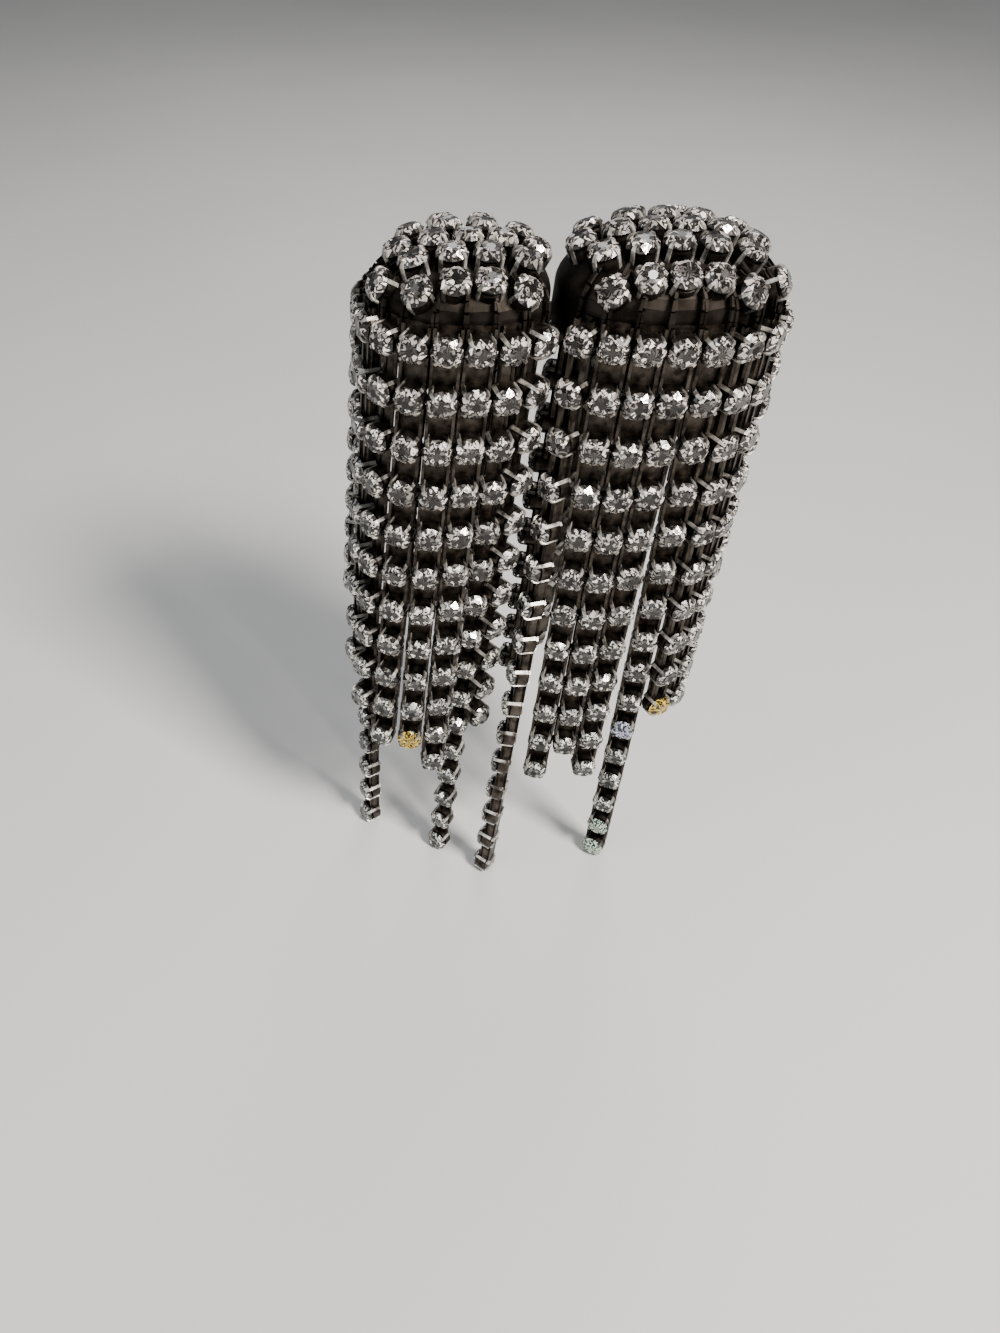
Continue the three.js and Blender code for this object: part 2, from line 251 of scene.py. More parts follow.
@dataclass(frozen=True)
class MetalFinish:
    """Cloudy plated metal, brighter where it is rubbed, with a fine grain."""

    name: str
    deep: tuple[float, ...]
    rubbed: tuple[float, ...]
    roughness: float
    metallic: float = 1.0
    waves_per_mm: float = 1.1
    edges: tuple[float, float] = (0.36, 0.68)
    cloud_roughness: float = 0.25
    grain_per_mm: float = 9.0
    grain_stretch: float = 1.0
    grain_roughness: float = 0.08
    grain_depth: float = 0.012

    def material(self) -> Material:
        """The finish, with its grain drawn out upright where it is stretched."""
        shader = Shader(self.name, {"Metallic": self.metallic})
        cloud = shader.noise(self.waves_per_mm)
        sockets = {"Vector": shader.place(), "Scale": (1.0, 1.0, self.grain_stretch)}
        drawn = shader.node("ShaderNodeMapping", {}, sockets)
        grain = shader.noise(self.grain_per_mm, 2.0, drawn)
        stops = list(zip(self.edges, (self.deep, self.rubbed)))
        rough = grain * self.grain_roughness + cloud * self.cloud_roughness
        return shader.dress(
            Base_Color=shader.ramp(cloud, stops),
            Roughness=rough + self.roughness,
            Normal=shader.bump(grain, self.grain_depth),
        )


DARK_SILVER = MetalFinish(
    name="dark_silver",
    deep=(0.019, 0.015, 0.012, 1.0),
    rubbed=(0.105, 0.088, 0.072, 1.0),
    roughness=0.26,
)
# A much lighter copy of the dark silver for the claws: painted highlights on them, as well as
# rubbed wear.
CLAW_SILVER_HIGHLIT = MetalFinish(
    name="claw_silver_highlit",
    deep=(0.06, 0.053, 0.047, 1.0),
    rubbed=(0.74, 0.70, 0.63, 1.0),
    roughness=0.20,
    metallic=0.6,
    waves_per_mm=0.9,
)
# Near-black, so that the plate seen between the stones reads as a shadowed gap: painted shade.
# The ribs and the back plate share it.
CAP_PLATE_SHADED = MetalFinish(
    name="cap_plate_painted_shade",
    deep=(0.010, 0.008, 0.006, 1.0),
    rubbed=(0.045, 0.037, 0.031, 1.0),
    roughness=0.42,
    waves_per_mm=0.45,
    edges=(0.34, 0.70),
    cloud_roughness=0.15,
    grain_per_mm=14.0,
    grain_stretch=0.06,
    grain_roughness=0.18,
    grain_depth=0.01,
)


class Slot(Enum):
    """Names of two material slots, which nothing in the script uses."""

    METAL = "metal"
    STONES = "set_stones"


@dataclass(frozen=True)
class Finishes:
    """The finishes of the earring, made once."""

    stone: Material
    silver: Material
    claw: Material
    plate: Material

    @classmethod
    def make(cls) -> "Finishes":
        """Makes every material."""
        return cls(
            CutStoneFinish().material(),
            DARK_SILVER.material(),
            CLAW_SILVER_HIGHLIT.material(),
            CAP_PLATE_SHADED.material(),
        )


# ---------------- shared shapes


def link_object(name: str, data: ID) -> Object:
    """Makes an object in the scene."""
    made = bpy.data.objects.new(name, data)
    bpy.context.scene.collection.objects.link(made)
    return made


def finish_mesh(
    name: str,
    shape: BMesh,
    material: Material,
    smooth_below: float = CREASE,
) -> Object:
    """Turns a shape in millimetres into an object in metres at the origin.

    Args:
        name: Name of the object.
        shape: The shape, which is freed.
        material: Its finish.
        smooth_below: Edges that turn less than this, in degrees, are shaded smooth.

    Returns:
        The object, riding on the one body.
    """
    bmesh.ops.scale(shape, vec=(MM, MM, MM), verts=shape.verts[:])
    mesh = keep_as_mesh(name, shape)
    mesh.materials.append(material)
    if smooth_below > 0.0:
        mesh.polygons.foreach_set("use_smooth", [True] * len(mesh.polygons))
        mesh.set_sharp_from_angle(angle=math.radians(smooth_below))
    made = link_object(name, mesh)
    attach(made, "root")
    return made


def spin_profile(profile: Iterable[tuple[float, float]], steps: int) -> BMesh:
    """Turns a profile about the Z axis into a closed shape with flat ends.

    Args:
        profile: Radius and height of each point, from the lower end to the upper one.
        steps: Sides of the shape.

    Returns:
        The new shape.
    """
    shape = bmesh.new()
    points = [shape.verts.new((radius, 0.0, height)) for radius, height in profile]
    edges = [shape.edges.new(pair) for pair in zip(points, points[1:])]
    bmesh.ops.spin(
        shape,
        geom=[*points, *edges],
        axis=(0.0, 0.0, 1.0),
        cent=(0.0, 0.0, 0.0),
        angle=math.tau,
        steps=steps,
        use_merge=True,
    )
    bmesh.ops.remove_doubles(shape, verts=shape.verts[:], dist=1e-4)
    bmesh.ops.holes_fill(shape, edges=[edge for edge in shape.edges if edge.is_boundary], sides=0)
    bmesh.ops.recalc_face_normals(shape, faces=shape.faces[:])
    return shape


def keep_as_mesh(name: str, shape: BMesh) -> Mesh:
    """Keeps a shape as a mesh to be copied, and frees it."""
    mesh = bpy.data.meshes.new(name)
    shape.to_mesh(mesh)
    shape.free()
    return mesh


def add_copy(shape: BMesh, mesh: Mesh, matrix: Matrix) -> None:
    """Adds a placed copy of a mesh to a shape."""
    start = len(shape.verts)
    shape.from_mesh(mesh)
    shape.verts.ensure_lookup_table()
    bmesh.ops.transform(shape, matrix=matrix, verts=shape.verts[start:])


def only(kind: type, parts: Iterable) -> list:
    """Those parts of a shape that are of one kind."""
    return [part for part in parts if isinstance(part, kind)]


def block(size: tuple[float, ...]) -> BMesh:
    """A block round the origin."""
    shape = bmesh.new()
    bmesh.ops.create_cube(shape, size=1.0)
    bmesh.ops.scale(shape, vec=size, verts=shape.verts[:])
    return shape


def round_edges(shape: BMesh, edges: list[BMEdge], width: float, segments: int) -> None:
    """Rounds edges of a shape."""
    bmesh.ops.bevel(
        shape,
        geom=edges,
        offset=width,
        affect="EDGES",
        segments=segments,
        profile=0.5,
        material=-1,
    )


def heading(bearing: float) -> Vector:
    """Level direction of a bearing from the front."""
    return Vector((math.sin(bearing), -math.cos(bearing), 0.0))


@dataclass(frozen=True)
class Seat:
    """Where a stone sits: its middle, and its right, up and outward directions."""

    centre: Vector
    right: Vector
    up: Vector
    out: Vector

    def matrix(self, lift: float = 0.0) -> Matrix:
        """Placement whose X, Y and Z are right, up and out, lifted along out."""
        turn = Matrix((self.right, self.up, self.out)).transposed().to_4x4()
        return Matrix.Translation(self.centre + self.out * lift) @ turn


def copy_to_seats(mesh: Mesh, seats: Iterable[Seat], lift: float = 0.0) -> BMesh:
    """A shape with a copy of a mesh in each seat."""
    shape = bmesh.new()
    for seat in seats:
        add_copy(shape, mesh, seat.matrix(lift))
    return shape


@dataclass(frozen=True)
class Outline:
    """Rounded outline of a cap, squarer in front than behind: |x/a|^n + |y/b|^n = 1."""

    half_width: float
    half_depth: float
    front_power: float = 2.5
    back_power: float = 2.0

    def power(self, y: float) -> float:
        """Power of the outline on the side where a point lies."""
        return self.front_power if y < 0.0 else self.back_power

    def share(self, x: float, y: float) -> float:
        """How far out a point lies: 0 in the middle and 1 on the outline."""
        power = self.power(y)
        total = abs(x / self.half_width) ** power + abs(y / self.half_depth) ** power
        return total ** (1.0 / power)

    def point(self, bearing: float) -> Vector:
        """Point of the outline at a bearing from the front."""
        across = math.sin(bearing)
        along = -math.cos(bearing)
        return Vector((across, along, 0.0)) / self.share(across, along)

    def facing(self, point: Vector) -> float:
        """Bearing in which the outline faces at one of its points."""
        power = self.power(point.y)

        def slope(value: float, half: float) -> float:
            """Slope of one term of the outline."""
            return math.copysign((abs(value) / half) ** (power - 1.0) / half, value)

        return math.atan2(slope(point.x, self.half_width), -slope(point.y, self.half_depth))

    def walk(self, distance: float) -> tuple[Vector, float]:
        """Walks from the middle of the front, a positive distance to the right.

        Args:
            distance: Length of the walk along the outline.

        Returns:
            The point reached, and the bearing in which the outline faces there.
        """
        step = math.copysign(math.radians(0.1), distance)
        bearing = 0.0
        here = self.point(bearing)
        walked = 0.0
        while walked < abs(distance):
            bearing += step
            following = self.point(bearing)
            walked += (following - here).length
            here = following
        return here, self.facing(here)

    def grown(self, by: float) -> "Outline":
        """The outline with both halves longer."""
        return Outline(
            self.half_width + by, self.half_depth + by, self.front_power, self.back_power
        )


# ---------------- the set stone


class Facet(Enum):
    """Kinds of facets: the dimmest painted sparkle, the brightest, and the pull of the lit side.
    """

    CENTRE = (0.005, 0.08, 0.0)
    TABLE = (0.02, 1.10, -0.6)
    STAR = (0.01, 0.22, 0.0)
    MAIN = (0.35, 2.6, 0.6)
    GIRDLE = (0.00, 0.16, 0.3)
    SIDE = (0.01, 0.08, 0.0)


class Glint(Enum):
    """Painted glints of single stones: coloured flashes of light, and one white highlight."""

    NONE = (1.0, 1.0, 1.0)
    WHITE = (1.0, 0.99, 0.95)
    GOLD = (1.0, 0.70, 0.13)
    BLUE = (0.66, 0.72, 1.0)
    GREEN = (0.80, 1.0, 0.86)


@dataclass(frozen=True)
class FacetTier:
    """A ring of facets that are cut at one angle.

    A cut passes through two points at its own bearing, each a radius and a height.
    """

    kind: Facet
    count: int
    start: float
    outer: tuple[float, float]
    inner: tuple[float, float]

    def planes(self) -> list[tuple[Vector, Vector]]:
        """Point and outward direction of each cut."""
        run = self.outer[0] - self.inner[0]
        rise = self.inner[1] - self.outer[1]
        planes = []
        for index in range(self.count):
            bearing = math.radians(self.start + index * 360.0 / self.count)
            turn = Matrix.Rotation(bearing, 3, "Z")
            point = turn @ Vector((self.outer[0], 0.0, self.outer[1]))
            planes.append((point, turn @ Vector((rise, 0.0, run)).normalized()))
        return planes


@dataclass
class CutStone:
    """A round stone with a brilliant cut, and the look of its foil."""

    girdle_radius: float = 1.40
    girdle_height: float = 0.74
    crown_height: float = 0.64
    table_radius: float = 0.80
    star_reach: float = 1.04
    star_drop: float = 0.15
    foot_radius: float = 0.55
    foot_height: float = -0.1
    sides: int = 16
    mesh: Mesh | None = None
    kinds: list[Facet] = field(default_factory=list)

    def tiers(self) -> list[FacetTier]:
        """The cuts of the crown, from the girdle to the table."""
        corner = math.cos(math.pi / self.sides)
        table_edge = self.table_radius * math.cos(math.pi / 8)
        low = self.girdle_height
        top = low + self.crown_height
        star_tip = (self.star_reach, top - self.star_drop)
        girdle = (self.girdle_radius * corner, low - 0.001)
        return [
            FacetTier(Facet.MAIN, 8, 0.0, (self.girdle_radius, low), (self.table_radius, top)),
            FacetTier(Facet.GIRDLE, 16, 11.25, girdle, (star_tip[0] * corner, star_tip[1])),
            FacetTier(Facet.STAR, 8, 22.5, star_tip, (table_edge, top)),
        ]

    def cut(self) -> None:
        """Cuts the stone out of a round blank and notes the kind of each facet."""
        shape = spin_profile(
            [
                (self.foot_radius, self.foot_height),
                (self.girdle_radius, self.girdle_height),
                (self.girdle_radius, self.girdle_height + self.crown_height),
            ],
            self.sides,
        )
        kind_layer = shape.faces.layers.int.new("kind")
        order = list(Facet)
        for face in shape.faces:
            face[kind_layer] = order.index(Facet.SIDE)
        for tier in self.tiers():
            for point, direction in tier.planes():
                self._cut_plane(shape, point, direction, kind_layer, order.index(tier.kind))
        table = max(shape.faces, key=lambda face: face.calc_center_median().z)
        table[kind_layer] = order.index(Facet.CENTRE)
        inset = bmesh.ops.inset_region(shape, faces=[table], thickness=self.table_radius * 0.5)
        for face in inset["faces"]:
            face[kind_layer] = order.index(Facet.TABLE)
        self.kinds = [order[face[kind_layer]] for face in shape.faces]
        self.mesh = keep_as_mesh("cut_stone", shape)

    @staticmethod
    def _cut_plane(
        shape: BMesh, point: Vector, direction: Vector, layer: object, kind: int
    ) -> None:
        """Cuts one facet and closes it.

        Args:
            shape: The stone.
            point: A point of the facet.
            direction: The way that the facet faces.
            layer: Face layer that holds the kind of a facet.
            kind: The kind of this one.
        """
        cut = bmesh.ops.bisect_plane(
            shape,
            geom=[*shape.verts, *shape.edges, *shape.faces],
            dist=1e-5,
            plane_co=point,
            plane_no=direction,
            clear_outer=True,
        )
        rim = only(BMEdge, cut["geom_cut"])
        for face in bmesh.ops.holes_fill(shape, edges=rim, sides=0)["faces"]:
            face[layer] = kind


@dataclass
class ClawCup:
    """A round cup, with four claws that run up its wall and fold over the stone."""

    base_radius: float = 1.20
    wall_radius: float = 1.38
    base_height: float = -0.8
    shoulder_height: float = 0.22
    wall_top: float = 0.46
    claw_width: float = 0.38
    claw_thickness: float = 0.16
    claw_foot: float = -0.62
    proud: float = 0.02
    root_width: float = 0.52
    root_thickness: float = 0.30
    bends: tuple[tuple[float, ...], ...] = (
        (0.02, 1.42, 8.0, 0.86),
        (-0.12, 0.24, 36.0, 0.82),
        (-0.27, 0.16, 30.0, 0.70),
    )
    sides: int = 16
    wall: Mesh | None = None
    claws: Mesh | None = None

    def press(self) -> None:
        """Presses the cup and folds its claws."""
        profile = [
            (self.base_radius, self.base_height),
            (self.wall_radius, self.base_height + self.shoulder_height),
            (self.wall_radius, self.wall_top),
        ]
        self.wall = keep_as_mesh("cup_wall", spin_profile(profile, self.sides))
        parts = (self._claw(), self._root())
        ring = bmesh.new()
        for quarter in range(4):
            turn = Matrix.Rotation(math.radians(45.0 + 90.0 * quarter), 4, "Z")
            for part in parts:
                add_copy(ring, part, turn)
        self.claws = keep_as_mesh("cup_claws", ring)

    def _root(self) -> Mesh:
        """The part of a claw that runs across the back of the cup, from its middle."""
        shape = block((self.base_radius, self.root_width, self.root_thickness))
        middle = (self.base_radius / 2.0, 0.0, self.base_height - self.proud)
        bmesh.ops.translate(shape, vec=middle, verts=shape.verts[:])
        return keep_as_mesh("claw_root", shape)

    def _claw(self) -> Mesh:
        """One claw, drawn out of a small plate up the wall and over the stone.

        Each bend moves the tip outward and up, leans it inward and narrows it.
        """
        shape = bmesh.new()
        bmesh.ops.create_grid(shape, x_segments=1, y_segments=1, size=0.5)
        plate = (self.claw_thickness, self.claw_width, 1.0)
        bmesh.ops.scale(shape, vec=plate, verts=shape.verts[:])
        start = (self.wall_radius + self.proud, 0.0, self.claw_foot)
        bmesh.ops.translate(shape, vec=start, verts=shape.verts[:])
        tip = shape.faces[:]
        for outward, upward, lean, narrowing in self.bends:
            drawn = bmesh.ops.extrude_face_region(shape, geom=tip)["geom"]
            tip = only(BMFace, drawn)
            points = only(BMVert, drawn)
            bmesh.ops.translate(shape, vec=(outward, 0.0, upward), verts=points)
            middle = sum((point.co for point in points), Vector()) / len(points)
            space = Matrix.Translation(-middle)
            bmesh.ops.scale(shape, vec=(1.0, narrowing, 1.0), verts=points, space=space)
            turn = Matrix.Rotation(-math.radians(lean), 3, "Y")
            bmesh.ops.rotate(shape, cent=middle, matrix=turn, verts=points)
        bmesh.ops.recalc_face_normals(shape, faces=shape.faces[:])
        return keep_as_mesh("claw", shape)


class LinkKind(Enum):
    """Kinds of links: width, width of a rail, height of a rail."""

    WIDE = (2.6, 0.28, 0.9)
    SLIM = (1.7, 0.42, 1.3)
    FLAT = (1.6, 0.30, 0.45)


@dataclass
class RailLink:
    """A flat web behind the cups with a rail along each side, from one cup to the next."""

    width: float
    rail_width: float
    rail_height: float
    web_height: float = 0.2
    edge: float = 0.3
    reach: float = 0.8

    def _bar(self, width: float, length: float, height: float, across: float) -> Mesh:
        """A bar with rounded edges along it, its back on the plane of the cups' backs."""
        bar = block((width, length, height))
        lengthways = [
            edge for edge in bar.edges if abs(edge.verts[0].co.y - edge.verts[1].co.y) > 1e-6
        ]
        round_edges(bar, lengthways, self.edge * height, 1)
        bmesh.ops.translate(bar, vec=(across, 0.0, height / 2.0), verts=bar.verts[:])
        return keep_as_mesh("link_bar", bar)

    def add_between(self, shape: BMesh, start: Vector, end: Vector, seat: Seat) -> None:
        """Adds a link to a shape.

        Args:
            shape: Shape that takes the link.
            start: Middle of the back of its upper end.
            end: Middle of the back of its lower end.
            seat: The link lies in the plane of this seat.
        """
        along = start - end
        web = self.width - self.rail_width
        bars = [self._bar(web, along.length, self.web_height, 0.0)]
        for beside in (web / 2.0, -web / 2.0):
            bars.append(self._bar(self.rail_width, along.length, self.rail_height, beside))
        up = along.normalized()
        out = (seat.out - up * seat.out.dot(up)).normalized()
        placed = Seat((start + end) / 2.0, up.cross(out), up, out)
        for bar in bars:
            add_copy(shape, bar, placed.matrix())
            bpy.data.meshes.remove(bar)


@dataclass
class Setting:
    """A cup with its stone, both placed by a seat in the middle of the cup's depth."""

    stone: CutStone = field(default_factory=CutStone)
    cup: ClawCup = field(default_factory=ClawCup)

    def __post_init__(self) -> None:
        """Makes the two shapes that every setting copies."""
        self.stone.cut()
        self.cup.press()


class StoneField:
    """Stones that are joined into one piece, each with a look of its own."""

    tip = 4.0
    fire = (0.7, 1.2)
    lit_side = (math.radians(105.0), math.radians(55.0))
    glint_tones = (0.5, 1.0)
    warm = (1.0, 0.90, 0.83)
    cool = (0.98, 1.0, 0.92)
    cool_from = 70.0
    drift = (0.94, 1.0)
    # Share of the painted sparkle left on every second table facet: painted dark reflection.
    dark_table_reflection = 0.12
    foil_lean = (0.15, 0.55)
    foil_spread = 0.22

    def __init__(self, stone: CutStone, seed: int) -> None:
        """Starts an empty field of copies of a stone, with a row of chance numbers."""
        self.stone = stone
        self.chance = random.Random(seed)
        self.shape = bmesh.new()
        self.across: list[float] = []
        self.tones: list[float] = []
        self.tints_and_glints: list[float] = []
        self.foils: list[float] = []

    def add(self, seat: Seat, lift: float, glint: Glint) -> None:
        """Adds one stone, turned in its cup by chance.

        Args:
            seat: Where it sits.
            lift: How far out of its seat.
            glint: Its painted glint.
        """
        roll = self.chance.uniform(0.0, math.pi / 4)
        turn = Matrix.Rotation(roll, 4, "Z")
        tip = Matrix.Rotation(math.radians(self.chance.uniform(-self.tip, self.tip)), 4, "X")
        placed = seat.matrix(lift) @ tip @ turn
        mesh = self.stone.mesh
        add_copy(self.shape, mesh, placed)
        for point in mesh.vertices:
            self.across.extend(point.co / self.stone.girdle_radius)
        turned = placed.to_3x3()
        fire = self.chance.uniform(*self.fire)
        lit_side = self.chance.gauss(*self.lit_side) - roll
        hue = self._hue(seat.centre.z, glint)
        for polygon, kind in zip(mesh.polygons, self.stone.kinds):
            bearing = math.atan2(polygon.center.y, polygon.center.x)
            self.tones.append(self._tone(kind, bearing, lit_side, fire, glint))
            self.tints_and_glints.extend((*hue, 1.0))
            self.foils.extend(turned @ self._foil(polygon, kind))

    def _hue(self, height: float, glint: Glint) -> list[float]:
        """Colour of a stone: warm near the caps, cooler near the ends of the strands, times its
        painted glint.
        """
        low = min(max(-height / self.cool_from, 0.0), 1.0)
        drift = self.chance.uniform(*self.drift)
        hues = zip(self.warm, self.cool, glint.value)
        return [(warm + (cool - warm) * low) * tint * drift for warm, cool, tint in hues]

    def _tone(
        self, kind: Facet, bearing: float, lit_side: float, fire: float, glint: Glint
    ) -> float:
        """Painted brightness of one facet: its painted reflections and highlights.

        The crown is painted brighter on the lit side, and the painted reflection of the foil,
        seen through the table, on the other one, where every second facet is painted dark.

        Args:
            kind: Kind of the facet.
            bearing: Where the facet lies round the stone.
            lit_side: Bearing that the light comes from.
            fire: How bright its painted sparkle is on the whole.
            glint: Painted glint of the stone.
        """
        # A stone with a painted glint is painted bright all over its crown.
        if glint is not Glint.NONE and kind is not Facet.SIDE:
            return self.chance.uniform(*self.glint_tones)
        dimmest, brightest, pull = kind.value
        tone = self.chance.uniform(dimmest, brightest) * fire
        tone *= 1.0 + pull * math.cos(bearing - lit_side)
        # Every second table facet is painted dark, as a painted dark reflection.
        if kind is Facet.TABLE and round((bearing + math.pi) / (math.pi / 8.0)) // 2 % 2:
            tone *= self.dark_table_reflection
        return min(max(tone, 0.0), 1.0)

    def _foil(self, polygon: MeshPolygon, kind: Facet) -> Vector:
        """Direction of the foil that shows through a facet."""
        facing = polygon.normal.copy()
        sideways = polygon.center.copy()
        sideways.z = 0.0
        if kind is Facet.TABLE and sideways.length > 1e-6:
            facing -= sideways.normalized() * self.chance.uniform(*self.foil_lean)
        spread = self.foil_spread
        jitter = Vector([self.chance.uniform(-spread, spread) for _ in range(3)])
        return (facing + jitter).normalized()

    def finish(self, name: str, material: Material) -> Object:
        """Joins the stones into one object and gives its facets their looks."""
        made = finish_mesh(name, self.shape, material, 0.0)
        looks = (
            ("across", "FLOAT_VECTOR", "POINT", "vector", self.across),
            ("tone", "FLOAT", "FACE", "value", self.tones),
            ("tint", "FLOAT_COLOR", "FACE", "color", self.tints_and_glints),
            ("foil", "FLOAT_VECTOR", "FACE", "vector", self.foils),
        )
        for label, kind, domain, key, values in looks:
            made.data.attributes.new(label, kind, domain).data.foreach_set(key, values)
        return made


@dataclass
class SetStones:
    """Stones in claw cups that stand in place of one node."""

    node: str
    seats: list[Seat]
    setting: Setting
    seed: int
    lift: float = 0.0
    glints: tuple[tuple[int, Glint], ...] = ()

    def cups(self) -> BMesh:
        """The cups, for more to be added to them."""
        return copy_to_seats(self.setting.cup.wall, self.seats, self.lift)

    def build(self, cups: BMesh, finishes: Finishes) -> None:
        """Builds the cups, the claws and the stones in place of the node.

        Args:
            cups: The cups, with what is soldered to them.
            finishes: The finishes.
        """
        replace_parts(finish_mesh(f"{self.node}_cups", cups, finishes.silver), self.node)
        # The claws take the lighter silver, with its painted highlights.
        shape = copy_to_seats(self.setting.cup.claws, self.seats, self.lift)
        claws = finish_mesh(f"{self.node}_claws", shape, finishes.claw, smooth_below=0.0)
        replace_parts(claws, self.node)
        stones = StoneField(self.setting.stone, self.seed)
        glints = dict(self.glints)
        for index, seat in enumerate(self.seats):
            stones.add(seat, self.lift, glints.get(index, Glint.NONE))
        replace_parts(stones.finish(f"{self.node}_stones", finishes.stone), self.node)
        LOG.info("%s: %d stones", self.node, len(self.seats))


# ---------------- strands


@dataclass(frozen=True)
class Strand:
    """One hanging strand.

    place is its number along the outline of its cap. sway and back are how far its end
    hangs to the right of its top and behind it, and turn is how many degrees its last
    stone is turned to the right of its first. Links are narrower where strands come close.
    """

    place: int
    stones: int
    pitch: float
    sway: float
    back: float = 0.0
    turn: float = 0.0
    glints: tuple[tuple[int, Glint], ...] = ()
    link: LinkKind = LinkKind.WIDE

    def seats(self, top: Vector, facing: float) -> list[Seat]:
        """Seats of its stones, from the top down.

        Args:
            top: Middle of the first cup.
            facing: Bearing in which the first stone faces.

        Returns:
            One seat for each stone.
        """
        drop = self.pitch * (self.stones - 1)
        up = Vector((-self.sway, -self.back, drop)).normalized()
        seats = []
        for index in range(self.stones):
            share = index / (self.stones - 1)
            level = heading(facing + math.radians(self.turn) * share)
            out = (level - up * level.dot(up)).normalized()
            centre = top + Vector((self.sway * share, self.back * share, -drop * share))
            seats.append(Seat(centre, up.cross(out), up, out))
        return seats

    def add_links(self, shape: BMesh, seats: list[Seat], depth: float, stub: float) -> None:
        """Adds the stub on top and the links between the cups.

        Args:
            shape: The cups.
            seats: Their seats.
            depth: Height of the back of a cup, from its seat.
            stub: Length of the stub above the first cup.
        """
        link = RailLink(*self.link.value)
        first = seats[0]
        hook = first.centre + first.out * depth
        reach = link.reach + stub
        link.add_between(shape, hook + first.up * reach, hook + first.up * 0.5, first)
        for upper, lower in zip(seats, seats[1:]):
            start = upper.centre + upper.out * depth - upper.up * link.reach
            end = lower.centre + lower.out * depth + lower.up * link.reach
            link.add_between(shape, start, end, upper)


# ---------------- caps


@dataclass(frozen=True)
class StoneRow:
    """A row of set stones on a cap: how far behind its middle, how many, how far apart."""

    back: float
    stones: int
    spread: float


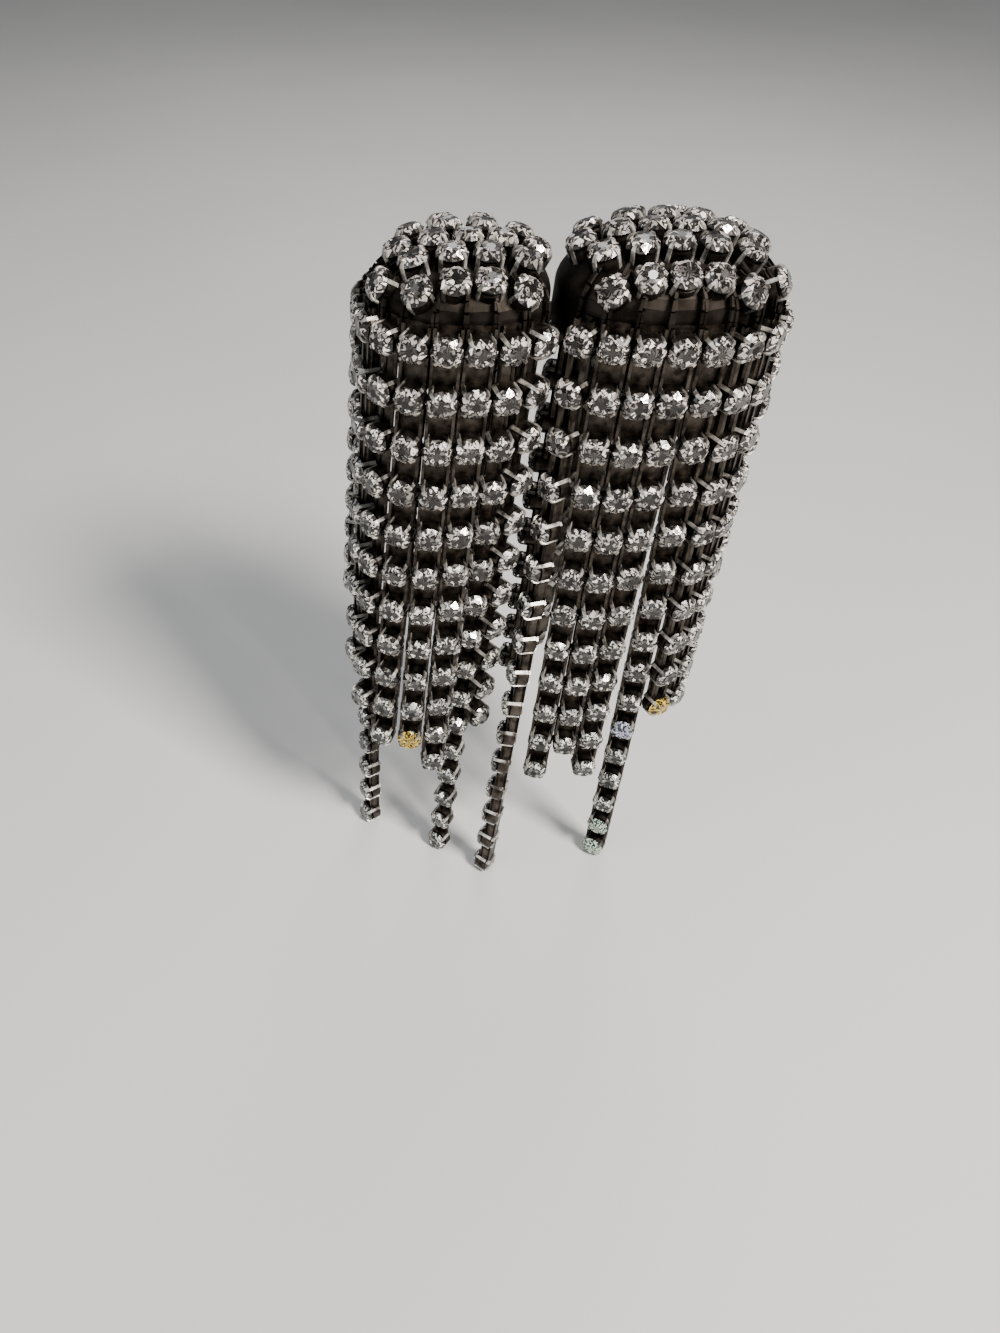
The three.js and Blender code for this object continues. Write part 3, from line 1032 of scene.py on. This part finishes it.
@dataclass
class DomedCap:
    """A domed plate with an upright skirt, open below, with rows of set stones."""

    node: str
    centre_x: float
    outline: Outline
    rise: float
    rows: tuple[StoneRow, ...]
    flank: tuple[float, float]
    setting: Setting
    seed: int
    centre_y: float = -8.6
    skirt_bottom: float = 3.7
    skirt_top: float = 6.9
    wall: float = 0.9
    dome_power: float = 2.2
    dome_rings: tuple[float, ...] = (0.995, 0.98, 0.955, 0.92, 0.87, 0.8, 0.7, 0.55, 0.35, 0.15)
    rim_edge: float = 0.2
    cup_lift: float = 0.4
    segments: int = 72
    rib_foot: float = 1.5
    rib_lap: float = 0.05
    rib_shares: tuple[float, ...] = (1.0, 0.985, 0.94, 0.86, 0.74)

    def height(self, share: float) -> float:
        """Height of the dome above its skirt at a share of the way out."""
        inside = 1.0 - min(share, 1.0) ** self.dome_power
        return self.rise * inside ** (1.0 / self.dome_power)

    def seat(self, x: float, y: float) -> Seat:
        """Seat of a stone on the dome."""

        def lift(px: float, py: float) -> float:
            """Height of the dome over a point."""
            return self.height(self.outline.share(px, py))

        step = 0.05
        slope_x = (lift(x + step, y) - lift(x - step, y)) / (2.0 * step)
        slope_y = (lift(x, y + step) - lift(x, y - step)) / (2.0 * step)
        out = Vector((-slope_x, -slope_y, 1.0)).normalized()
        right = Vector((1.0, 0.0, slope_x)).normalized()
        middle = Vector((self.centre_x + x, self.centre_y + y, self.skirt_top + lift(x, y)))
        return Seat(middle, right, out.cross(right), out)

    def seats(self) -> list[Seat]:
        """Seats of all its stones, row by row, and then the one on its outer flank."""
        in_rows = [
            self.seat((index - (row.stones - 1) / 2.0) * row.spread, row.back)
            for row in self.rows
            for index in range(row.stones)
        ]
        return [*in_rows, self.seat(*self.flank)]

    def build(self, finishes: Finishes) -> None:
        """Builds the plate, the cups, the claws and the stones in place of the cap's node."""
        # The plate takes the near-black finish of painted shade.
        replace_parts(finish_mesh(f"{self.node}_plate", self._plate(), finishes.plate), self.node)
        stones = SetStones(self.node, self.seats(), self.setting, self.seed, self.cup_lift)
        stones.build(stones.cups(), finishes)

    def _plate(self) -> BMesh:
        """The domed plate with its skirt."""
        shape = bmesh.new()
        ring = bmesh.ops.create_circle(shape, segments=self.segments, radius=1.0)["verts"]
        edges = shape.edges[:]
        for point in ring:
            point.co = self.outline.point(math.atan2(point.co.x, -point.co.y))
        foot = (self.centre_x, self.centre_y, self.skirt_bottom)
        bmesh.ops.translate(shape, vec=foot, verts=shape.verts[:])
        middle = Vector((self.centre_x, self.centre_y, 0.0))
        edges = self._next_ring(shape, edges, middle, 1.0, self.skirt_top)
        last = 1.0
        for share in self.dome_rings:
            level = self.skirt_top + self.height(share)
            edges = self._next_ring(shape, edges, middle, share / last, level)
            last = share
        bmesh.ops.holes_fill(shape, edges=edges, sides=0)
        bmesh.ops.recalc_face_normals(shape, faces=shape.faces[:])
        bmesh.ops.solidify(shape, geom=shape.faces[:], thickness=self.wall)
        bmesh.ops.recalc_face_normals(shape, faces=shape.faces[:])
        rim = [
            edge
            for edge in shape.edges
            if all(abs(point.co.z - self.skirt_bottom) < 1e-3 for point in edge.verts)
            and abs(edge.calc_face_angle(0.0)) > 1.0
        ]
        round_edges(shape, rim, self.rim_edge, 2)
        return shape

    @staticmethod
    def _next_ring(
        shape: BMesh, edges: list[BMEdge], middle: Vector, shrink: float, level: float
    ) -> list[BMEdge]:
        """Draws the open edge of a plate on to the next ring.

        Args:
            shape: The plate.
            edges: Its open edge.
            middle: Point that the ring closes in on.
            shrink: Size of the new ring over that of the last one.
            level: Height of the new ring.

        Returns:
            The new open edge.
        """
        drawn = bmesh.ops.extrude_edge_only(shape, edges=edges)["geom"]
        points = only(BMVert, drawn)
        space = Matrix.Translation(-middle)
        bmesh.ops.scale(shape, vec=(shrink, shrink, 1.0), verts=points, space=space)
        for point in points:
            point.co.z = level
        new = set(points)
        return [edge for edge in only(BMEdge, drawn) if new.issuperset(edge.verts)]

    def rib(self, point: Vector, facing: float) -> BMesh:
        """A link that runs from a hanging strand up over the edge of the dome.

        Args:
            point: Point of the cap's outline, from the cap's middle.
            facing: Bearing in which the outline faces there.

        Returns:
            The link's shape.
        """
        shape = bmesh.new()
        upward = Vector((0.0, 0.0, 1.0))
        level = heading(facing)
        base = Vector((self.centre_x, self.centre_y, 0.0))
        stops = [base + point + upward * (self.skirt_bottom + self.rib_foot)]
        for share in self.rib_shares:
            stops.append(base + point * share + upward * (self.skirt_top + self.height(share)))
        link = RailLink(*LinkKind.WIDE.value)
        for lower, upper in zip(stops, stops[1:]):
            along = (upper - lower).normalized()
            out = upward + level - along * (along.z + along.dot(level))
            seat = Seat(lower, along.cross(out), along, out.normalized())
            link.add_between(shape, upper + along * self.rib_lap, lower, seat)
        return shape


@dataclass(frozen=True)
class Curtain:
    """A row of strands: number of the first, height of the first stones, and their stub."""

    first_number: int
    stone_z: float
    stub: float


@dataclass
class Lobe:
    """One cap, the strands that hang round it, and the rear ones that hang under it."""

    cap: DomedCap
    phase: float
    spacing: float
    strands: tuple[Strand, ...]
    first_number: int
    rear_strands: tuple[tuple[float, Strand], ...]
    first_rear_number: int
    clearance: float = 0.3
    cup_depth: float = 1.6
    first_stone_z: float = 4.9
    stub: float = 1.0
    rear_inset: float = 1.5
    first_rear_stone_z: float = 2.1
    rear_stub: float = 0.3
    rib_bearing: float = 100.0

    def build(self, finishes: Finishes) -> None:
        """Builds the cap and hangs the strands."""
        self.cap.build(finishes)
        path = self.cap.outline.grown(self.clearance + self.cup_depth / 2.0)
        places = [path.walk(self.phase + strand.place * self.spacing) for strand in self.strands]
        front = Curtain(self.first_number, self.first_stone_z, self.stub)
        self._hang(self.strands, places, front, finishes)
        self._ribs(places, finishes)
        path = self.cap.outline.grown(-self.rear_inset)
        points = [path.point(math.radians(bearing)) for bearing, _ in self.rear_strands]
        places = [(point, path.facing(point)) for point in points]
        rear = Curtain(self.first_rear_number, self.first_rear_stone_z, self.rear_stub)
        self._hang([strand for _, strand in self.rear_strands], places, rear, finishes)

    def _ribs(self, places: list[tuple[Vector, float]], finishes: Finishes) -> None:
        """Runs a link from the top of each front strand up over the edge of the dome."""
        for number, (point, facing) in enumerate(places, start=1):
            if abs(facing) > math.radians(self.rib_bearing):
                continue
            foot = self.cap.outline.point(math.atan2(point.x, -point.y))
            name = f"{self.cap.node}_rib_{number:02d}"
            # The ribs take the plate's near-black finish of painted shade.
            rib = finish_mesh(name, self.cap.rib(foot, facing), finishes.plate)
            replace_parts(rib, self.cap.node)

    def _hang(
        self,
        strands: Iterable[Strand],
        places: list[tuple[Vector, float]],
        curtain: Curtain,
        finishes: Finishes,
    ) -> None:
        """Hangs a row of strands.

        Args:
            strands: The strands.
            places: For each, its point on the path round the cap, and where it faces.
            curtain: What they have in common.
            finishes: The finishes.
        """
        cap = self.cap
        for number, (strand, place) in enumerate(zip(strands, places), curtain.first_number):
            point, facing = place
            top = Vector((cap.centre_x + point.x, cap.centre_y + point.y, curtain.stone_z))
            name = f"strand_{number:02d}"
            seats = strand.seats(top, facing)
            stones = SetStones(name, seats, cap.setting, number, glints=strand.glints)
            cups = stones.cups()
            strand.add_links(cups, seats, cap.setting.cup.base_height, curtain.stub)
            stones.build(cups, finishes)


def rear_strands(side: float) -> tuple[tuple[float, Strand], ...]:
    """Bearings and strands of a rear row, from the seam outward: side is 1 left, -1 right."""
    return (
        (100.0 * side, Strand(0, 10, 4.6, 0.0)),
        (142.0 * side, Strand(0, 10, 4.6, 0.2 * side)),
        (180.0, Strand(0, 9, 4.6, 0.0)),
        (-142.0 * side, Strand(0, 9, 4.6, -0.2 * side)),
    )


def left_lobe(setting: Setting) -> Lobe:
    """The lower, narrower lobe."""
    slim, flat = LinkKind.SLIM, LinkKind.FLAT
    # Painted glint: a gold flash of light on one stone.
    gold_glint_end = ((10, Glint.GOLD),)
    return Lobe(
        cap=DomedCap(
            node="cap_left",
            centre_x=-8.6,
            outline=Outline(7.5, 7.3),
            rise=3.2,
            rows=(
                StoneRow(5.0, 2, 3.4),
                StoneRow(2.2, 4, 3.0),
                StoneRow(-0.5, 5, 2.8),
                StoneRow(-3.1, 4, 3.0),
                StoneRow(-5.9, 4, 2.8),
            ),
            flank=(-6.8, -3.3),
            setting=setting,
            seed=101,
        ),
        phase=0.85,
        spacing=2.75,
        first_number=1,
        first_rear_number=21,
        rear_strands=rear_strands(1.0),
        strands=(
            Strand(-7, 9, 3.6, -0.4, link=slim),
            Strand(-6, 10, 3.6, -0.6, link=slim),
            Strand(-5, 16, 4.8, 2.1, 0.6, 28.0, link=slim),
            Strand(-4, 9, 4.8, -0.6, link=slim),
            Strand(-3, 10, 4.8, -1.2, link=flat),
            Strand(-2, 11, 4.8, -1.2),
            Strand(-1, 11, 4.8, -0.8, glints=gold_glint_end),
            Strand(0, 12, 4.7, -0.7),
            Strand(1, 16, 4.8, -0.9, 3.0, -54.0, link=flat),
            Strand(2, 11, 4.6, -1.0, 0.4, link=flat),
        ),
    )


def right_lobe(setting: Setting) -> Lobe:
    """The higher, wider lobe."""
    slim = LinkKind.SLIM
    # Painted glints: one white highlight, and gold, blue and green flashes of light.
    white_glint_one = ((9, Glint.WHITE),)
    gold_glint_end = ((9, Glint.GOLD),)
    cold_glint_end = ((10, Glint.BLUE), (14, Glint.GREEN), (15, Glint.GREEN))
    return Lobe(
        cap=DomedCap(
            node="cap_right",
            centre_x=8.6,
            outline=Outline(9.1, 7.3),
            rise=4.0,
            rows=(
                StoneRow(5.2, 2, 3.9),
                StoneRow(2.6, 5, 3.0),
                StoneRow(-0.1, 6, 2.8),
                StoneRow(-2.9, 5, 2.9),
                StoneRow(-5.9, 5, 2.7),
            ),
            flank=(8.2, -3.4),
            setting=setting,
            seed=102,
        ),
        phase=0.5,
        spacing=2.8,
        first_number=11,
        first_rear_number=25,
        rear_strands=rear_strands(-1.0),
        strands=(
            # This one turns to the left, though its solid turns half round to the right.
            Strand(-3, 16, 4.8, -1.2, -2.2, -95.0, white_glint_one, slim),
            Strand(-2, 12, 4.9, 0.7),
            Strand(-1, 11, 4.9, 0.6),
            Strand(0, 12, 4.8, 0.6),
            Strand(1, 16, 4.8, 3.0, 2.2, -42.0, cold_glint_end),
            Strand(2, 10, 4.8, 1.9, glints=gold_glint_end, link=slim),
            Strand(3, 10, 4.8, 1.7, link=slim),
            Strand(4, 12, 3.8, 1.3, link=slim),
            Strand(5, 11, 3.8, 1.0, link=slim),
            Strand(6, 10, 3.8, 0.8, link=slim),
        ),
    )


# ---------------- plate and ear post


@dataclass
class EarPost:
    """The plate behind the caps and the post on it."""

    node: str = "ear_post"
    thickness: float = 1.0
    top: float = 6.2
    dip: float = 1.6
    bottom: float = -2.2
    reach: float = 11.5
    ear: float = 4.8
    foot: float = 2.4
    corner: float = 1.0
    edge: float = 0.18
    post_diameter: float = 0.9
    post_length: float = 11.0
    fillet: float = 0.35
    groove_from_tip: float = 2.2
    groove_depth: float = 0.12
    groove_half_width: float = 0.4
    tip_flat: float = 0.02

    def build(self, finishes: Finishes) -> None:
        """Builds both pieces in place of the node."""
        # The back plate takes the near-black finish of painted shade.
        plate = finish_mesh("back_plate", self._plate(), finishes.plate)
        post = finish_mesh("post", self._post(), finishes.silver)
        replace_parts(plate, self.node)
        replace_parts(post, self.node)
        LOG.info("%s: plate and post", self.node)

    def _plate(self) -> BMesh:
        """The plate, with its corners and edges rounded."""
        half = [
            (self.foot, self.dip),
            (self.ear, self.top),
            (self.reach, self.top),
            (self.reach, self.dip),
            (self.ear, self.bottom),
        ]
        mirrored = [(-x, z) for x, z in reversed(half)]
        shape = bmesh.new()
        face = shape.faces.new([shape.verts.new((x, 0.0, z)) for x, z in [*half, *mirrored]])
        bmesh.ops.recalc_face_normals(shape, faces=[face])
        drawn = bmesh.ops.extrude_face_region(shape, geom=[face])["geom"]
        moved = only(BMVert, drawn)
        bmesh.ops.translate(shape, vec=(0.0, -self.thickness, 0.0), verts=moved)
        bmesh.ops.recalc_face_normals(shape, faces=shape.faces[:])
        across = [
            edge for edge in shape.edges if abs(edge.verts[0].co.y - edge.verts[1].co.y) > 0.5
        ]
        round_edges(shape, across, self.corner, 5)
        rims = [edge for edge in shape.edges if edge.calc_face_angle(0.0) > 1.2]
        round_edges(shape, rims, self.edge, 3)
        return shape

    def _post(self) -> BMesh:
        """The post, soldered in a small fillet, with a groove and a rounded tip."""
        radius = self.post_diameter / 2.0
        size = self.fillet
        fillet = [
            (radius + size * (1.0 - math.sin(angle)), size * (1.0 - math.cos(angle)))
            for angle in map(math.radians, (0, 22.5, 45, 67.5, 90))
        ]
        middle = self.post_length - self.groove_from_tip
        wide = self.groove_half_width
        groove = [
            (
                radius - self.groove_depth * math.cos(offset / wide * math.pi / 2.0),
                middle + offset,
            )
            for offset in (-wide, -wide / 2.0, 0.0, wide / 2.0, wide)
        ]
        tip = [
            (
                radius * math.cos(angle) + self.tip_flat,
                self.post_length - radius * (1.0 - math.sin(angle)),
            )
            for angle in map(math.radians, (0, 20, 40, 60, 80))
        ]
        foot = (radius + self.fillet, -self.thickness / 2.0)
        shape = spin_profile([foot, *fillet, *groove, *tip], 32)
        turn = Matrix.Rotation(-math.pi / 2.0, 3, "X")
        bmesh.ops.rotate(shape, cent=(0.0, 0.0, 0.0), matrix=turn, verts=shape.verts[:])
        return shape


# ---------------- studio


@dataclass
class SoftBox:
    """A square soft light."""

    name: str
    place: tuple[float, float, float]
    size: float
    watts: float
    colour: tuple[float, float, float] = (1.0, 1.0, 1.0)

    def hang(self, target: Vector) -> None:
        """Hangs the light, turned to a target that is given in metres."""
        light = bpy.data.lights.new(self.name, "AREA")
        light.size = self.size * MM
        light.energy = self.watts
        light.color = self.colour
        lamp = link_object(self.name, light)
        lamp.location = Vector(self.place) * MM
        lamp.rotation_euler = (target - lamp.location).to_track_quat("-Z", "Y").to_euler()


@dataclass
class Studio:
    """Floor, lights and camera, in millimetres from the root of the ear post."""

    camera_place: tuple[float, float, float] = (-19.45, -95.3, 43.8)
    camera_pitch: float = 44.0
    lens: float = 27.0
    sensor: float = 36.0
    shift: float = 0.12
    floor_size: float = 6000.0
    floor_gap: float = 0.1
    floor_shades: tuple[tuple[float, ...], ...] = (
        (0.60, 0.595, 0.585, 1.0),
        (0.64, 0.635, 0.625, 1.0),
    )
    surround: tuple[float, ...] = (0.80, 0.82, 0.85, 1.0)
    surround_strength: float = 0.26
    boxes: tuple[SoftBox, ...] = (
        SoftBox("key_light", (150.0, -190.0, 240.0), 90.0, 2.75, (1.0, 0.96, 0.91)),
        SoftBox("fill_light", (-260.0, -160.0, 120.0), 220.0, 0.4, (0.93, 0.97, 1.0)),
        SoftBox("back_light", (60.0, 260.0, 240.0), 160.0, 0.5),
    )

    def build(self) -> None:
        """Sets up the whole studio."""
        lowest, highest = CAD_BOX
        self._floor(lowest.z - self.floor_gap * MM)
        self._world()
        for box in self.boxes:
            box.hang((lowest + highest) / 2.0)
        self._camera()

    def _floor(self, level: float) -> None:
        """A wide pale floor."""
        shape = bmesh.new()
        bmesh.ops.create_grid(shape, x_segments=1, y_segments=1, size=self.floor_size * MM / 2.0)
        bmesh.ops.translate(shape, vec=(0.0, 0.0, level), verts=shape.verts[:])
        mesh = keep_as_mesh("floor", shape)
        shader = Shader("pale_floor", {"Roughness": 0.7})
        pale = shader.ramp(shader.noise(0.01), list(zip((0.3, 0.7), self.floor_shades)))
        mesh.materials.append(shader.dress(Base_Color=pale))
        link_object("floor", mesh)

    def _world(self) -> None:
        """An even, dim surround."""
        world = bpy.data.worlds.new("studio")
        world.use_nodes = True
        ground = world.node_tree.nodes["Background"]
        ground.inputs["Color"].default_value = self.surround
        ground.inputs["Strength"].default_value = self.surround_strength
        bpy.context.scene.world = world

    def _camera(self) -> None:
        """The camera, in front of the earring and above it, looking down."""
        lens = bpy.data.cameras.new("camera")
        lens.lens = self.lens
        lens.sensor_width = self.sensor
        lens.shift_x = self.shift
        lens.clip_start = 0.001
        lens.clip_end = 50.0
        camera = link_object("camera", lens)
        camera.location = Vector(self.camera_place) * MM
        camera.rotation_euler = (math.radians(90.0 - self.camera_pitch), 0.0, 0.0)
        bpy.context.scene.camera = camera


# ---------------- assembly


def main() -> None:
    """Builds the earring and its studio."""
    logging.basicConfig(level=logging.INFO, format="%(name)s %(message)s")
    finishes = Finishes.make()
    setting = Setting()
    for lobe in (left_lobe(setting), right_lobe(setting)):
        lobe.build(finishes)
    EarPost().build(finishes)
    Studio().build()


if __name__ == "__main__":
    main()
